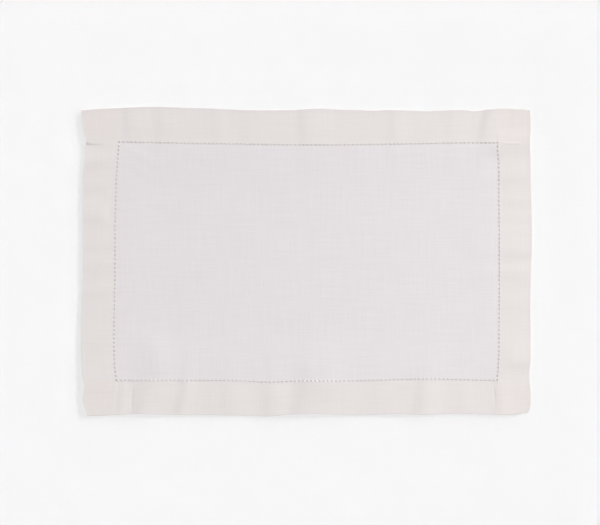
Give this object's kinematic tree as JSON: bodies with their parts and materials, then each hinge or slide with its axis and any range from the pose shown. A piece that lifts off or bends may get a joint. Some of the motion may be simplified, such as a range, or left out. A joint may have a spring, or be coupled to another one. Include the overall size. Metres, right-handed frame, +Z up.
{
  "type": "placemat",
  "caption": "Flat rectangular linen placemat with a wide turned hem all round, a drawn-thread hemstitch line where hem meets panel, and slightly puckered edges.",
  "frame": {"origin": "middle of the mat's outline, on the table", "axes": "+X along the long edges, +Y along the short edges towards the top of the picture, +Z up from the table"},
  "size_m": [0.4854, 0.333, 0.0027],
  "materials": {
    "linen": "plain-weave linen in warm white, washed and pressed, matt"
  },
  "bodies": {
    "root": {"placemat": "linen"}
  },
  "joints": []
}
